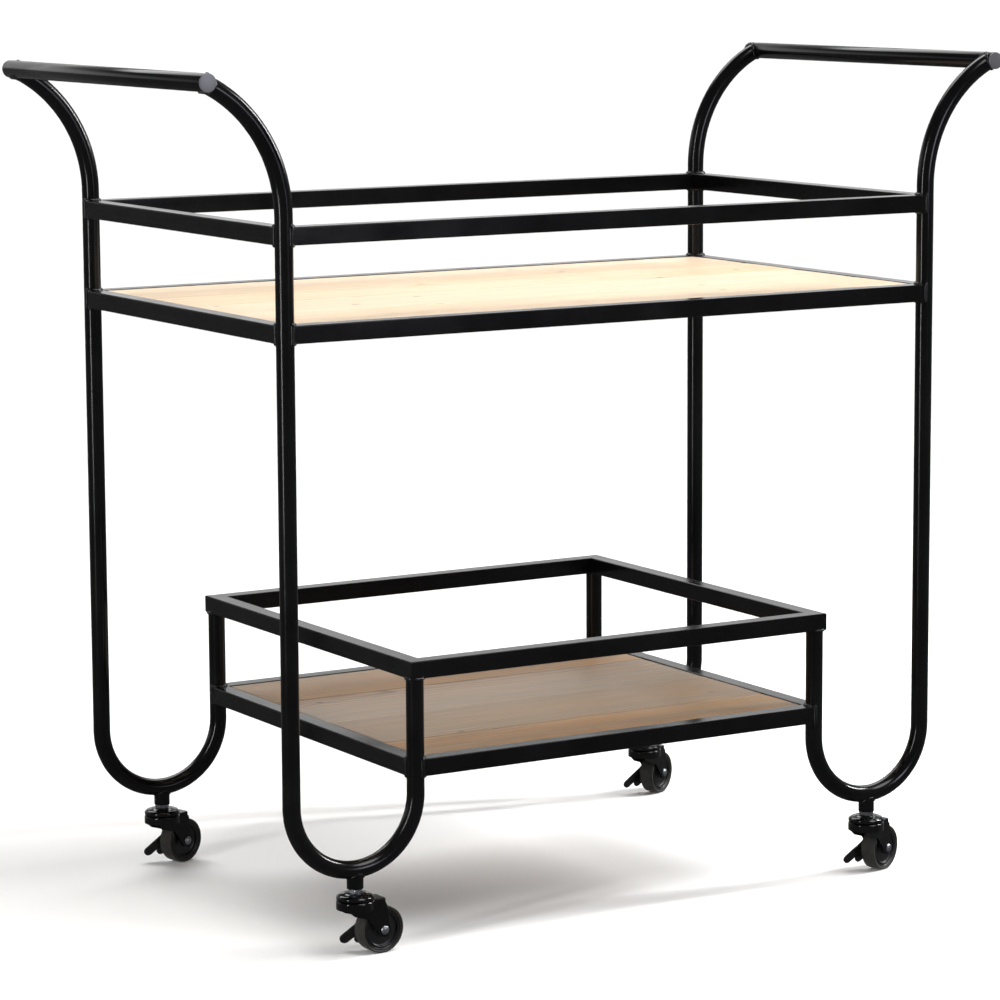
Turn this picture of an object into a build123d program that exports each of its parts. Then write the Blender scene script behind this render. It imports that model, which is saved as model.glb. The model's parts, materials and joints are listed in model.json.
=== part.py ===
from build123d import *
import os
from math import acos, cos, degrees, radians, sin

# Bar cart on four braked swivel casters: four bent tube legs, two handle bars, four welded
# frames of square tube, and two shelves of boards screwed to flat bars. Sizes are in mm, +Z is
# up, the floor is z = 0, +X is along the shelves and -Y is the front. The origin is on the
# floor, under the middle of the whole outline, casters and brake levers included.

# ---------- driving dimensions ----------
CART_Y = -6.5           # middle of the frame; the back casters and levers reach further out
LEG_X = 403.5           # leg centre line, out from the middle
SIDE_Y = 229.0          # leg centre line, forward or back from the middle
TUBE_R = 9.5            # round tube, outside
TUBE_WALL = 1.5
BEND_R = 73.6           # U bend at the foot of each leg, centre line
BEND_LOW_Z = 92.5       # lowest point of the bend's centre line
CURL_R = 150.0          # outward curl at the top of each leg, centre line
CURL_START_Z = 776.2
GRIP_OUT = 88.0         # handle bar centre, outboard of the leg
CAP_T, CAP_EDGE = 2.0, 0.7                  # discs that close the handle bars

BOX = 19.0              # square tube, outside
BOX_WALL = 1.2
BOX_ROUND = 1.2         # rounding of the square tube's outer edges
UPPER_GALLERY_TOP = 766.3
UPPER_SHELF_TOP = 666.5
LOWER_GALLERY_TOP = 307.0
LOWER_SHELF_TOP = 202.5
WELD_GAP = 0.1          # between a coped rail end and the tube that it is welded to
GRIP_GAP = 0.25         # the same, where a leg meets its handle bar
COPE_START = 4.0        # a coped rail starts this far from the leg's centre line

BOARD_T = 12.0
BOARD_DROP = 0.3        # board top below the top of its frame
BOARD_EDGE = 1.5        # gap between the boards and the frame
BOARD_GAP = 0.4         # gap between boards
BOARD_ROUND = 0.7
UPPER_SHARES = (0.24, 0.27, 0.23, 0.26)     # board widths, front to back
LOWER_SHARES = (0.17, 0.28, 0.29, 0.26)
BAR_W, BAR_T = 25.0, 3.0                    # flat bars under the boards
SCREW_R, SCREW_HEAD_R, SCREW_HEAD_T, SCREW_IN = 1.75, 3.6, 2.0, 8.0

# ---------- caster, from the floor up ----------
WHEEL_R = 25.4
TRAIL = 29.0            # axle behind the swivel axis
TYRE_HALF = 8.5
CORE_R = 22.0
HUB_HALF = 9.2
AXLE_R, AXLE_END = 3.0, 21.0                 # the bolt's far end, from the wheel's middle
HEAD_R, HEAD_T = 4.8, 3.0
AXLE_NUT_FLATS, AXLE_NUT_T = 10.0, 4.5
RUNNING = 0.06          # radial clearance on the axle and the kingpin
FORK_IN, FORK_OUT = 9.5, 11.5
FORK_LIP_Z, FORK_TOP_Z, FORK_ROOF = 51.0, 60.0, 2.5
RACE_R = 20.2
ARM_END_R = 7.4         # round end of each fork arm, about the axle
FORK_BACK = 32.0        # the fork's box reaches this far behind the swivel axis
FORK_ROUND, FORK_EDGE = 4.0, 1.8            # its upright corners and its top edge
KINGPIN_R = 4.0
PLATE_LOW_Z, PLATE_TOP_Z = 61.0, 67.8
PLATE_R, SHOULDER_R, CROWN_R = 20.0, 17.2, 10.5     # lip, shoulder and flat top of the plate
PLATE_WALL, LIP_WALL = 2.4, 1.8
RIVET_R, RIVET_T = 7.0, 3.0
NUT_T, NUT_FLATS, NUT_GAP = 4.4, 14.0, 0.1
NUT_TURN = 17.0         # how far each jam nut stands turned from its caster's direction
SOCKET_R = 8.8
BALL_R, BALL_RING_R, BALLS = 2.2, 12.5, 10
GAP = 0.3               # between faces of different bodies
LEVER_T, LEVER_R = 2.0, 7.6
TYRE_ROUND, CORE_ROUND = 0.4, 0.8

# place on the cart: name, side in X, side in Y, swivel angle of the trailing axle at rest
CORNERS = (
    ("front_left", -1, -1, 3.5),
    ("front_right", 1, -1, 21.0),
    ("back_left", -1, 1, 19.0),
    ("back_right", 1, 1, 27.0),
)

# ---------- worked out ----------
BEND_Z = BEND_LOW_Z + BEND_R                # height of the bend's centre
STEM_X = LEG_X - BEND_R                     # the caster hangs under the bend's lowest point
INNER_X = LEG_X - 2 * BEND_R                # short upright that carries the lower frames
GRIP_X = LEG_X + GRIP_OUT
CURL_END = acos(1 - GRIP_OUT / CURL_R)      # the curl ends at the handle bar's centre line
GRIP_Z = CURL_START_Z + CURL_R * sin(CURL_END)
HALF = BOX / 2
NUT_LOW_Z = PLATE_TOP_Z + NUT_GAP
SOCKET_LOW_Z = NUT_LOW_Z + NUT_T + NUT_GAP
SOCKET_HOLE_Z = BEND_LOW_Z - TUBE_R - 0.5   # the stem's blind hole stops short of the tube
STEM_TOP_Z = SOCKET_HOLE_Z - 1.0
ROOF_LOW_Z = FORK_TOP_Z - FORK_ROOF

os.makedirs("parts", exist_ok=True)
print(f"handle bar at x {GRIP_X:.1f}, z {GRIP_Z:.1f}, curl {degrees(CURL_END):.1f} degrees")


def save(piece, name):
    """Labels a finished piece and writes its STEP."""
    piece.part.label = name
    export_step(piece.part, f"parts/{name}.step")


# ---------- legs ----------
def leg_plane(side_x, side_y):
    """Plane of one leg's centre line: x runs outboard, y runs up."""
    middle = (0, CART_Y + side_y * SIDE_Y, 0)
    return Plane(origin=middle, x_dir=(side_x, 0, 0), z_dir=(0, -side_x, 0))


def leg_line():
    """The leg's centre line, from the lower gallery down round the bend and up to the grip."""
    Line((INNER_X, LOWER_GALLERY_TOP - BOX), (INNER_X, BEND_Z))
    ThreePointArc((INNER_X, BEND_Z), (STEM_X, BEND_LOW_Z), (LEG_X, BEND_Z))
    Line((LEG_X, BEND_Z), (LEG_X, CURL_START_Z))
    curl = [
        (LEG_X + CURL_R * (1 - cos(a)), CURL_START_Z + CURL_R * sin(a))
        for a in (0, CURL_END / 2, CURL_END)
    ]
    ThreePointArc(*curl)


def grip_plane(side_x, y):
    """Plane across one handle bar, facing the front."""
    return Plane(origin=(side_x * GRIP_X, y, GRIP_Z), x_dir=(1, 0, 0), z_dir=(0, -1, 0))


for corner, side_x, side_y, swivel in CORNERS:
    with BuildPart() as leg_tube:
        with BuildLine(leg_plane(side_x, side_y)) as centre_line:
            leg_line()
        with BuildSketch(Plane(origin=centre_line.line @ 0, z_dir=centre_line.line % 0)):
            Circle(TUBE_R)
            Circle(TUBE_R - TUBE_WALL, mode=Mode.SUBTRACT)
        sweep(path=centre_line.line)
        with BuildSketch(grip_plane(side_x, CART_Y + side_y * SIDE_Y)):
            Circle(TUBE_R + GRIP_GAP)
        extrude(amount=2 * TUBE_R, both=True, mode=Mode.SUBTRACT)
    save(leg_tube, f"leg_tube_{corner}")

# ---------- handle bars ----------
GRIP_HALF = SIDE_Y + TUBE_R
for side, side_x in (("left", -1), ("right", 1)):
    with BuildPart() as handle_bar:
        with BuildSketch(grip_plane(side_x, CART_Y)):
            Circle(TUBE_R)
            Circle(TUBE_R - TUBE_WALL, mode=Mode.SUBTRACT)
        extrude(amount=GRIP_HALF, both=True)
    save(handle_bar, f"handle_bar_{side}")

with BuildPart() as handle_end_caps:
    for side_x in (-1, 1):
        for side_y in (-1, 1):
            inner_face = CART_Y + side_y * GRIP_HALF
            with BuildSketch(grip_plane(side_x, inner_face)):
                Circle(TUBE_R)
            extrude(amount=-side_y * CAP_T)
    outer_rims = handle_end_caps.edges().filter_by(GeomType.CIRCLE).group_by(Axis.Y)
    chamfer(outer_rims[0] + outer_rims[-1], CAP_EDGE)
save(handle_end_caps, "handle_end_caps")


# ---------- square tube frames ----------
def side_place(side, z):
    """Middle of a frame's side, and the direction that its rail runs in. The middle of a left or
    right side is given as a share of half the frame's length."""
    places = {
        "front": ((0, CART_Y - SIDE_Y, z), (1, 0, 0)),
        "back": ((0, CART_Y + SIDE_Y, z), (-1, 0, 0)),
        "left": ((-1, CART_Y, z), (0, -1, 0)),
        "right": ((1, CART_Y, z), (0, 1, 0)),
    }
    return places[side]


def rail(side, top, half_x, coped):
    """One square tube of a frame. A coped rail fits round the tubes at its ends; the others
    are mitred over the full corner."""
    origin, along = side_place(side, top)
    if side in ("left", "right"):
        origin = (origin[0] * half_x, origin[1], origin[2])
    half = half_x if side in ("front", "back") else SIDE_Y
    plane = Plane(origin=origin, x_dir=along, z_dir=(0, 0, 1))
    if coped:
        corner = [(half - COPE_START, -HALF), (half - COPE_START, COPE_START)]
    else:
        corner = [(half + HALF, -HALF)]
    corner.append((half - HALF, HALF))
    outline = corner + [(-x, y) for x, y in reversed(corner)]
    across = Plane(origin=plane.from_local_coords((0, 0, -HALF)), x_dir=plane.y_dir, z_dir=along)
    with BuildPart() as tube:
        with BuildSketch(across):
            RectangleRounded(BOX, BOX, BOX_ROUND)
            Rectangle(BOX - 2 * BOX_WALL, BOX - 2 * BOX_WALL, mode=Mode.SUBTRACT)
        extrude(amount=half + BOX, both=True)
        with BuildSketch(plane):
            Polygon(*outline, align=None)
        extrude(amount=-BOX, mode=Mode.INTERSECT)
        if coped:
            with BuildSketch(plane):
                with Locations((half, 0), (-half, 0)):
                    Circle(TUBE_R + WELD_GAP)
            extrude(amount=-BOX, mode=Mode.SUBTRACT)
    return tube


FRAMES = (
    ("upper_gallery", UPPER_GALLERY_TOP, LEG_X, True),
    ("upper_shelf", UPPER_SHELF_TOP, LEG_X, True),
    ("lower_gallery", LOWER_GALLERY_TOP, INNER_X, False),
    ("lower_shelf", LOWER_SHELF_TOP, INNER_X, True),
)
for frame, top, half_x, coped in FRAMES:
    for side in ("front", "back", "left", "right"):
        save(rail(side, top, half_x, coped), f"{frame}_{side}_rail")


# ---------- shelves ----------
def board_rows(shares):
    """Centre and width of each board across the shelf, front to back."""
    room = 2 * (SIDE_Y - HALF - BOARD_EDGE)
    y = CART_Y - room / 2
    rows = []
    for share in shares:
        rows.append((y + share * room / 2, share * room - BOARD_GAP))
        y += share * room
    return rows


SHELVES = (
    ("upper", UPPER_SHELF_TOP, LEG_X, UPPER_SHARES, (-270, 0, 270)),
    ("lower", LOWER_SHELF_TOP, INNER_X, LOWER_SHARES, (-170, 0, 170)),
)
for shelf, frame_top, half_x, shares, bars_x in SHELVES:
    top = frame_top - BOARD_DROP
    bar_top = top - BOARD_T
    length = 2 * (half_x - HALF - BOARD_EDGE)
    rows = board_rows(shares)
    screws_at = [(x, y) for x in bars_x for y, _ in rows]
    for number, (y, width) in enumerate(rows, 1):
        with BuildPart() as board:
            with BuildSketch(Plane.XY.offset(top)):
                with Locations((0, y)):
                    Rectangle(length, width)
            extrude(amount=-BOARD_T)
            fillet(board.faces().sort_by(Axis.Z)[-1].edges(), BOARD_ROUND)
            with BuildSketch(Plane.XY.offset(bar_top)):
                with Locations(*[(x, y) for x in bars_x]):
                    Circle(SCREW_R)
            extrude(amount=SCREW_IN, mode=Mode.SUBTRACT)
        save(board, f"{shelf}_board_{number}")
    with BuildPart() as support_bars:
        with BuildSketch(Plane.XY.offset(bar_top)):
            with Locations(*[(x, CART_Y) for x in bars_x]):
                Rectangle(BAR_W, 2 * (SIDE_Y - HALF))
            with Locations(*screws_at):
                Circle(SCREW_R, mode=Mode.SUBTRACT)
        extrude(amount=-BAR_T)
    save(support_bars, f"{shelf}_support_bars")
    with BuildPart() as board_screws:
        with BuildSketch(Plane.XY.offset(bar_top - BAR_T)):
            with Locations(*screws_at):
                Circle(SCREW_HEAD_R)
        extrude(amount=-SCREW_HEAD_T)
        chamfer(board_screws.edges().group_by(Axis.Z)[0], 0.8)
        with BuildSketch(Plane.XY.offset(bar_top - BAR_T)):
            with Locations(*screws_at):
                Circle(SCREW_R)
        extrude(amount=BAR_T + SCREW_IN)
    save(board_screws, f"{shelf}_board_screws")


# ---------- caster fittings that stay with the frame ----------
def stem_plane(corner_x, corner_y, z=0.0, swivel=0.0):
    """Plane under one bend: z is the swivel axis and x points along the caster's trail."""
    x_dir = (cos(radians(swivel)), sin(radians(swivel)), 0)
    middle = (corner_x * STEM_X, CART_Y + corner_y * SIDE_Y, z)
    return Plane(origin=middle, x_dir=x_dir, z_dir=(0, 0, 1))


with BuildPart() as caster_sockets:
    for _, side_x, side_y, _ in CORNERS:
        with BuildSketch(stem_plane(side_x, side_y, SOCKET_LOW_Z)):
            Circle(SOCKET_R)
        extrude(amount=BEND_LOW_Z - SOCKET_LOW_Z)
        with BuildLine(leg_plane(side_x, side_y)) as bend:
            ThreePointArc((INNER_X, BEND_Z), (STEM_X, BEND_LOW_Z), (LEG_X, BEND_Z))
        with BuildSketch(Plane(origin=bend.line @ 0, z_dir=bend.line % 0)):
            Circle(TUBE_R + WELD_GAP)
        sweep(path=bend.line, mode=Mode.SUBTRACT)
        with BuildSketch(stem_plane(side_x, side_y, SOCKET_LOW_Z)):
            Circle(KINGPIN_R)
        extrude(amount=SOCKET_HOLE_Z - SOCKET_LOW_Z, mode=Mode.SUBTRACT)
save(caster_sockets, "caster_sockets")

with BuildPart() as caster_jam_nuts:
    for _, side_x, side_y, swivel in CORNERS:
        with BuildSketch(stem_plane(side_x, side_y, NUT_LOW_Z, NUT_TURN + swivel)):
            RegularPolygon(NUT_FLATS / 2, 6, major_radius=False)
            Circle(KINGPIN_R, mode=Mode.SUBTRACT)
        extrude(amount=NUT_T)
save(caster_jam_nuts, "caster_jam_nuts")

# outline of the stem from its rivet head up: the rivet, the kingpin, the underside of the
# raceway plate out to its lip, back over the plate's shoulder, and the stem
STEM_PROFILE = (
    (0, ROOF_LOW_Z - GAP - RIVET_T),
    (RIVET_R, ROOF_LOW_Z - GAP - RIVET_T),
    (RIVET_R, ROOF_LOW_Z - GAP),
    (KINGPIN_R, ROOF_LOW_Z - GAP),
    (KINGPIN_R, PLATE_TOP_Z - PLATE_WALL),
    (CROWN_R - 0.5, PLATE_TOP_Z - PLATE_WALL),
    (SHOULDER_R - 1.2, PLATE_TOP_Z - PLATE_WALL - 0.8),
    (PLATE_R - LIP_WALL, PLATE_TOP_Z - PLATE_WALL - 2.2),
    (PLATE_R - LIP_WALL, PLATE_LOW_Z),
    (PLATE_R, PLATE_LOW_Z),
    (PLATE_R, PLATE_TOP_Z - 3.8),
    (SHOULDER_R, PLATE_TOP_Z - 1.3),
    (CROWN_R, PLATE_TOP_Z),
    (KINGPIN_R, PLATE_TOP_Z),
    (KINGPIN_R, STEM_TOP_Z),
    (0, STEM_TOP_Z),
)
with BuildPart() as caster_stems:
    for _, side_x, side_y, _ in CORNERS:
        base = stem_plane(side_x, side_y)
        with BuildSketch(Plane(origin=base.origin, x_dir=(1, 0, 0), z_dir=(0, -1, 0))):
            with BuildLine():
                Polyline(*STEM_PROFILE, close=True)
            make_face()
        revolve(axis=Axis(base.origin, (0, 0, 1)))
save(caster_stems, "caster_stems")

with BuildPart() as swivel_balls:
    for _, side_x, side_y, _ in CORNERS:
        base = stem_plane(side_x, side_y, FORK_TOP_Z + GAP + BALL_R)
        for turn in range(BALLS):
            angle = radians(turn * 360 / BALLS)
            spot = base.from_local_coords((BALL_RING_R * cos(angle), BALL_RING_R * sin(angle), 0))
            with Locations(spot):
                Sphere(BALL_R)
save(swivel_balls, "swivel_balls")


# ---------- casters ----------
def on_caster(spot, origin, x_dir, z_dir):
    """A plane given in one caster's own directions."""
    turned_x = spot.from_local_coords(x_dir) - spot.origin
    turned_z = spot.from_local_coords(z_dir) - spot.origin
    return Plane(origin=spot.from_local_coords(origin), x_dir=turned_x, z_dir=turned_z)


def across_axle(spot, y):
    """Plane square to the axle at y from the wheel's middle, x backwards and y up."""
    return on_caster(spot, (0, y, 0), (1, 0, 0), (0, -1, 0))


def along_axle(spot):
    """Plane through the axle, x along it and y up from it, for turned profiles."""
    return on_caster(spot, (TRAIL, 0, WHEEL_R), (0, 1, 0), (1, 0, 0))


def turned(spot, profile, radii):
    """A piece turned about the axle, from a profile of (along, radius) points."""
    plane = along_axle(spot)
    with BuildPart() as piece:
        with BuildSketch(plane):
            with BuildLine():
                FilletPolyline(*profile, radius=radii, close=True)
            make_face()
        revolve(axis=Axis(plane.origin, plane.x_dir))
    return piece


def two_sided(half_profile):
    """Mirrors a profile's right half to make the whole."""
    return list(half_profile) + [(-a, r) for a, r in reversed(half_profile)]


# outline of a fork arm down to the round end at the axle: behind the swivel axis, and up
FORK_ARM = (
    (-16, FORK_LIP_Z + 4),
    (-15, FORK_LIP_Z),
    (-7, 44.5),
    (9, 39.5),
    (23.5, 20.4),
    (35.9, 22.0),
    (FORK_BACK, FORK_LIP_Z + 1),
    (FORK_BACK - 1, FORK_LIP_Z + 4),
)


def fork(spot):
    """Stamped fork: a hooded raceway, a box over the wheel and two arms down to the axle."""
    lip = spot.offset(FORK_LIP_Z)
    wall = FORK_OUT - FORK_IN
    with BuildPart() as body:
        with BuildSketch(lip):
            Circle(RACE_R)
            with Locations((FORK_BACK / 2, 0)):
                RectangleRounded(FORK_BACK, 2 * FORK_OUT, FORK_ROUND)
        extrude(amount=FORK_TOP_Z - FORK_LIP_Z)
        fillet(body.faces().sort_by(Axis.Z)[-1].edges(), FORK_EDGE)
        with BuildSketch(lip):
            Circle(RACE_R - wall)
            with Locations(((FORK_BACK - wall) / 2, 0)):
                RectangleRounded(FORK_BACK - wall, 2 * FORK_IN, FORK_ROUND - wall)
        extrude(amount=FORK_TOP_Z - FORK_LIP_Z - FORK_ROOF, mode=Mode.SUBTRACT)
        for start in (-FORK_IN, FORK_OUT):
            with BuildSketch(across_axle(spot, start)):
                Polygon(*FORK_ARM, align=None)
                with Locations((TRAIL, WHEEL_R)):
                    Circle(ARM_END_R)
            extrude(amount=wall)
        with BuildSketch(spot.offset(FORK_TOP_Z)):
            Circle(KINGPIN_R + RUNNING)
        extrude(amount=-FORK_ROOF, mode=Mode.SUBTRACT)
        with BuildSketch(across_axle(spot, 0)):
            with Locations((TRAIL, WHEEL_R)):
                Circle(AXLE_R)
        extrude(amount=2 * FORK_OUT, both=True, mode=Mode.SUBTRACT)
    return body


TYRE_HALF_PROFILE = (
    (TYRE_HALF - 0.9, CORE_R), (TYRE_HALF - 0.9, CORE_R + 0.95), (TYRE_HALF, CORE_R + 1.5),
    (TYRE_HALF, WHEEL_R),
)
CORE_HALF_PROFILE = (
    (HUB_HALF, AXLE_R + RUNNING), (HUB_HALF, 6.4), (5.4, 7.4), (4.6, 17.0), (7.4, 18.6),
    (7.4, CORE_R),
)
AXLE_PROFILE = (
    (-FORK_OUT - HEAD_T, 0), (-FORK_OUT - HEAD_T, HEAD_R - 1.2),
    (-FORK_OUT - HEAD_T + 1.2, HEAD_R), (-FORK_OUT, HEAD_R),
    (-FORK_OUT, AXLE_R), (AXLE_END, AXLE_R), (AXLE_END, 0),
)
LEVER_Y = FORK_OUT + 2 * GAP
AXLE_NUT_Y = LEVER_Y + LEVER_T + GAP
# each lever tab: root and end on the lever, from the axle, and the end's radius
TABS = (
    ((-12.5, 3.0), (-26.5, 25.5, -13.0), 5.6),
    ((-4.5, -5.0), (-13.0, 19.5, -13.6), 5.0),
)


def brake_lever(spot):
    """Stamped brake lever: a plate on the axle with two tabs bent outwards and down."""
    plate = across_axle(spot, LEVER_Y + LEVER_T)
    with BuildPart() as lever:
        with BuildSketch(plate):
            with Locations((TRAIL, WHEEL_R)):
                Circle(LEVER_R)
            for (x, z), _, radius in TABS:
                with Locations((TRAIL + x, WHEEL_R + z)):
                    Circle(radius)
            make_hull()
        extrude(amount=LEVER_T)
        for (x, z), end, radius in TABS:
            root = Vector(TRAIL + x, LEVER_Y + LEVER_T / 2, WHEEL_R + z)
            reach = Vector(TRAIL + end[0], end[1], WHEEL_R + end[2]) - root
            level = Vector(-reach.Z, 0, reach.X).normalized()
            tab = on_caster(spot, tuple(root), tuple(reach), tuple(reach.cross(level)))
            with BuildSketch(tab):
                with Locations((reach.length / 2, 0)):
                    Rectangle(reach.length, 2 * radius)
                with Locations((reach.length, 0)):
                    Circle(radius)
            extrude(amount=LEVER_T / 2, both=True)
        split(bisect_by=across_axle(spot, LEVER_Y), keep=Keep.BOTTOM)
        with BuildSketch(plate):
            with Locations((TRAIL, WHEEL_R)):
                Circle(AXLE_R + RUNNING)
        extrude(amount=LEVER_T, both=True, mode=Mode.SUBTRACT)
    return lever


def axle_bolt(spot):
    """Axle bolt with a domed head on one side and its lock nut on the other."""
    plane = along_axle(spot)
    with BuildPart() as piece:
        with BuildSketch(plane):
            with BuildLine():
                Polyline(*AXLE_PROFILE, close=True)
            make_face()
        revolve(axis=Axis(plane.origin, plane.x_dir))
        with BuildSketch(across_axle(spot, AXLE_NUT_Y)):
            with Locations((TRAIL, WHEEL_R)):
                RegularPolygon(AXLE_NUT_FLATS / 2, 6, major_radius=False)
        extrude(amount=-AXLE_NUT_T)
    return piece


for corner, side_x, side_y, swivel in CORNERS:
    spot = stem_plane(side_x, side_y, 0, swivel)
    save(fork(spot), f"fork_{corner}")
    save(turned(spot, two_sided(TYRE_HALF_PROFILE), TYRE_ROUND), f"tyre_{corner}")
    save(turned(spot, two_sided(CORE_HALF_PROFILE), CORE_ROUND), f"wheel_core_{corner}")
    save(axle_bolt(spot), f"axle_bolt_{corner}")
    save(brake_lever(spot), f"brake_lever_{corner}")
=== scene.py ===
# %% [markdown]
# # A bar cart in black steel and wood
# The cart is a welded frame of bent round tube and square tube, with boards in its two trays and
# a braked caster under each leg. The engineering model gives every place and every moving body,
# so this script only adds the looks around it. Everything is in metres, and sizes that belong to
# one piece are written in millimetres and multiplied by MM.

# %% Open the frame
import json
import math

import bmesh
import bpy
from mathutils import Matrix, Vector


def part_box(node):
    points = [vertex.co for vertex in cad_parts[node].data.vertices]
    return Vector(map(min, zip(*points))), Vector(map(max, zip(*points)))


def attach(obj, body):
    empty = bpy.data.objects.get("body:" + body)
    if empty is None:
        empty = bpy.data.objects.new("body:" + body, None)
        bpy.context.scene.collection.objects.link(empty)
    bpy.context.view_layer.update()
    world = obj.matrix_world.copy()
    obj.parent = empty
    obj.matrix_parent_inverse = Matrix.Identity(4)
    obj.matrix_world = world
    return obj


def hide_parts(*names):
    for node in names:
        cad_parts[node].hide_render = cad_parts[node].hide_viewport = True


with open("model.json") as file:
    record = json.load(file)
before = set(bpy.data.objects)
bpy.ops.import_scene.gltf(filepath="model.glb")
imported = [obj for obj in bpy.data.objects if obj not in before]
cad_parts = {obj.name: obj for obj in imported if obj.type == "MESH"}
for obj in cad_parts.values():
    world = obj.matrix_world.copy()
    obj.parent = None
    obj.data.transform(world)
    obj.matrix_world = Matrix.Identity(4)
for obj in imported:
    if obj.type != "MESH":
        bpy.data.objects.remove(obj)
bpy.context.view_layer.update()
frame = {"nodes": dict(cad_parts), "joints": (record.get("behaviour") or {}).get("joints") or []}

MM = 0.001
nodes = frame["nodes"]

# %% [markdown]
# ## Measures of the frame
# The round tube's radius is half the depth of a leg. The leg is one tube that goes down the
# outside, round a half circle and up to the lower tray, so its inner end, the caster's axis and
# its outer upright are evenly spaced. Reading them from the frame keeps every later piece in
# place if the frame changes.

# %% Measures
def middle(name):
    low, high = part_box(name)
    return (low + high) / 2


leg_low, leg_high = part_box("leg_tube_front_left")
tube_r = (leg_high.y - leg_low.y) / 2
leg_y = {"front": middle("leg_tube_front_left").y, "back": middle("leg_tube_back_left").y}
joints = {joint["name"]: joint for joint in frame["joints"]}
inner_x = tube_r - leg_high.x
stem_x = -joints["swivel_front_left"]["pos_m"][0]
bend_r = stem_x - inner_x
leg_x = stem_x + bend_r
bend_z = leg_low.z + tube_r + bend_r
grip = middle("handle_bar_right")
CORNERS = [(end, side) for end in ("front", "back") for side in ("left", "right")]
SIGN = {"left": -1, "right": 1, "front": -1, "back": 1}
print(f"tube {tube_r / MM:.2f} mm radius, bend {bend_r / MM:.1f}, legs at x {leg_x / MM:.1f}")

# %% [markdown]
# ## Colours and shader nodes
# Colours are picked as sRGB hex values, and a renderer works in linear light, so one function
# turns one into the other. A second function adds a shader node with its settings and its links,
# which keeps each material down to a readable list.

# %% Helpers for materials
def colour(code):
    """Linear RGBA of an sRGB colour such as #c8c4bd."""
    parts = [int(code[i:i + 2], 16) / 255 for i in (1, 3, 5)]
    return [c / 12.92 if c < 0.0405 else ((c + 0.055) / 1.055) ** 2.4 for c in parts] + [1.0]


def add(tree, kind, inputs=None, stops=None, **settings):
    """Adds a node. inputs maps an input's name or number to a value or to another node's
    output, and stops are a colour ramp's (place, colour) pairs."""
    node = tree.nodes.new(kind)
    for key, value in settings.items():
        setattr(node, key, value)
    for key, value in (inputs or {}).items():
        if isinstance(value, bpy.types.NodeSocket):
            tree.links.new(value, node.inputs[key])
        else:
            node.inputs[key].default_value = value
    if stops:
        ramp = node.color_ramp
        while len(ramp.elements) < len(stops):
            ramp.elements.new(1.0)
        for element, (place, shade) in zip(ramp.elements, stops):
            element.position = place
            element.color = shade
    return node


def start_material(name, **numbers):
    """A material with one Principled shader. numbers are its sockets' plain values."""
    material = bpy.data.materials.new(name)
    material.use_nodes = True
    tree = material.node_tree
    tree.nodes.clear()
    shader = add(tree, "ShaderNodeBsdfPrincipled")
    for key, value in numbers.items():
        shader.inputs[key.replace("_", " ")].default_value = value
    add(tree, "ShaderNodeOutputMaterial", {"Surface": shader.outputs["BSDF"]})
    place = add(tree, "ShaderNodeTexCoord").outputs["Object"]
    return material, tree, shader, place


print("a middle grey in linear light:", round(colour("#808080")[0], 3))

# %% [markdown]
# ## Black stoving enamel on the frame
# The welded frame is sprayed black and baked. The paint levels out to a semi-gloss skin that is
# almost mirror-like at a shallow angle and nearly black face on. Two things stop it looking like
# plastic: the faint orange peel, with a pitch of about 3 mm, and a slow change of gloss over a
# hand's width where the spray was heavier. A finer grain of dust nibs is set in the paint.

# %% Frame enamel
def enamel(name, peel_mm, gloss, dark, light, peel_depth, level=0.16):
    """Sprayed black paint. gloss is its (least, most) roughness, and level is how much it
    reflects face on, where 0.5 is plain glossy paint. A low level keeps flat faces deep black."""
    material, tree, shader, place = start_material(name, IOR=1.5, Specular_IOR_Level=level)
    peel = add(tree, "ShaderNodeTexNoise", {"Vector": place, "Scale": 1 / (peel_mm * MM),
                                            "Detail": 2.0, "Roughness": 0.45})
    nibs = add(tree, "ShaderNodeTexNoise", {"Vector": place, "Scale": 1 / (0.7 * MM),
                                            "Detail": 1.0})
    spray = add(tree, "ShaderNodeTexNoise", {"Vector": place, "Scale": 1 / (90 * MM),
                                             "Detail": 3.0, "Roughness": 0.6})
    shade = add(tree, "ShaderNodeValToRGB", {"Fac": spray.outputs["Fac"]},
                stops=[(0.3, colour(dark)), (0.7, colour(light))])
    tree.links.new(shade.outputs["Color"], shader.inputs["Base Color"])
    rough = add(tree, "ShaderNodeMapRange", {"Value": spray.outputs["Fac"], "From Min": 0.3,
                                             "From Max": 0.7, "To Min": gloss[0],
                                             "To Max": gloss[1]})
    tree.links.new(rough.outputs["Result"], shader.inputs["Roughness"])
    grain = add(tree, "ShaderNodeMath", {0: nibs.outputs["Fac"], 1: 0.12, 2: peel.outputs["Fac"]},
                operation="MULTIPLY_ADD")
    bump = add(tree, "ShaderNodeBump", {"Height": grain.outputs["Value"], "Strength": 0.55,
                                        "Distance": peel_depth * MM})
    tree.links.new(bump.outputs["Normal"], shader.inputs["Normal"])
    return material


frame_enamel = enamel("black_stoving_enamel", 3.0, (0.13, 0.22), "#050506", "#0b0b0c", 0.05,
                      level=0.2)
print("enamel:", frame_enamel.name)

# %% [markdown]
# ## Paint over a weld
# The same paint lies thicker and rougher on a weld, where it bridges the ripples of the bead.

# %% Weld enamel
weld_enamel = enamel("black_enamel_over_weld", 1.4, (0.16, 0.28), "#050506", "#0c0c0d", 0.12,
                     level=0.3)
print("enamel:", weld_enamel.name)

# %% [markdown]
# ## Enamelled disc on the bar's end
# The discs that close the bars were cut from sheet and face straight outwards. They carry the
# same black paint, but the light they mirror is painted into their colour: the same recipe with a
# paler grey base as a painted reflection, more roughness and a stronger reflection.

# %% Disc enamel
# the grey base, paler than the frame's black, is a painted reflection of the light the discs face
painted_reflection_disc_paint = enamel("grey_painted_reflection_enamel", 3.0, (0.3, 0.42), "#3a3a3e", "#4a4a4f", 0.03,
                     level=0.9)
print("enamel:", painted_reflection_disc_paint.name)

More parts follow.
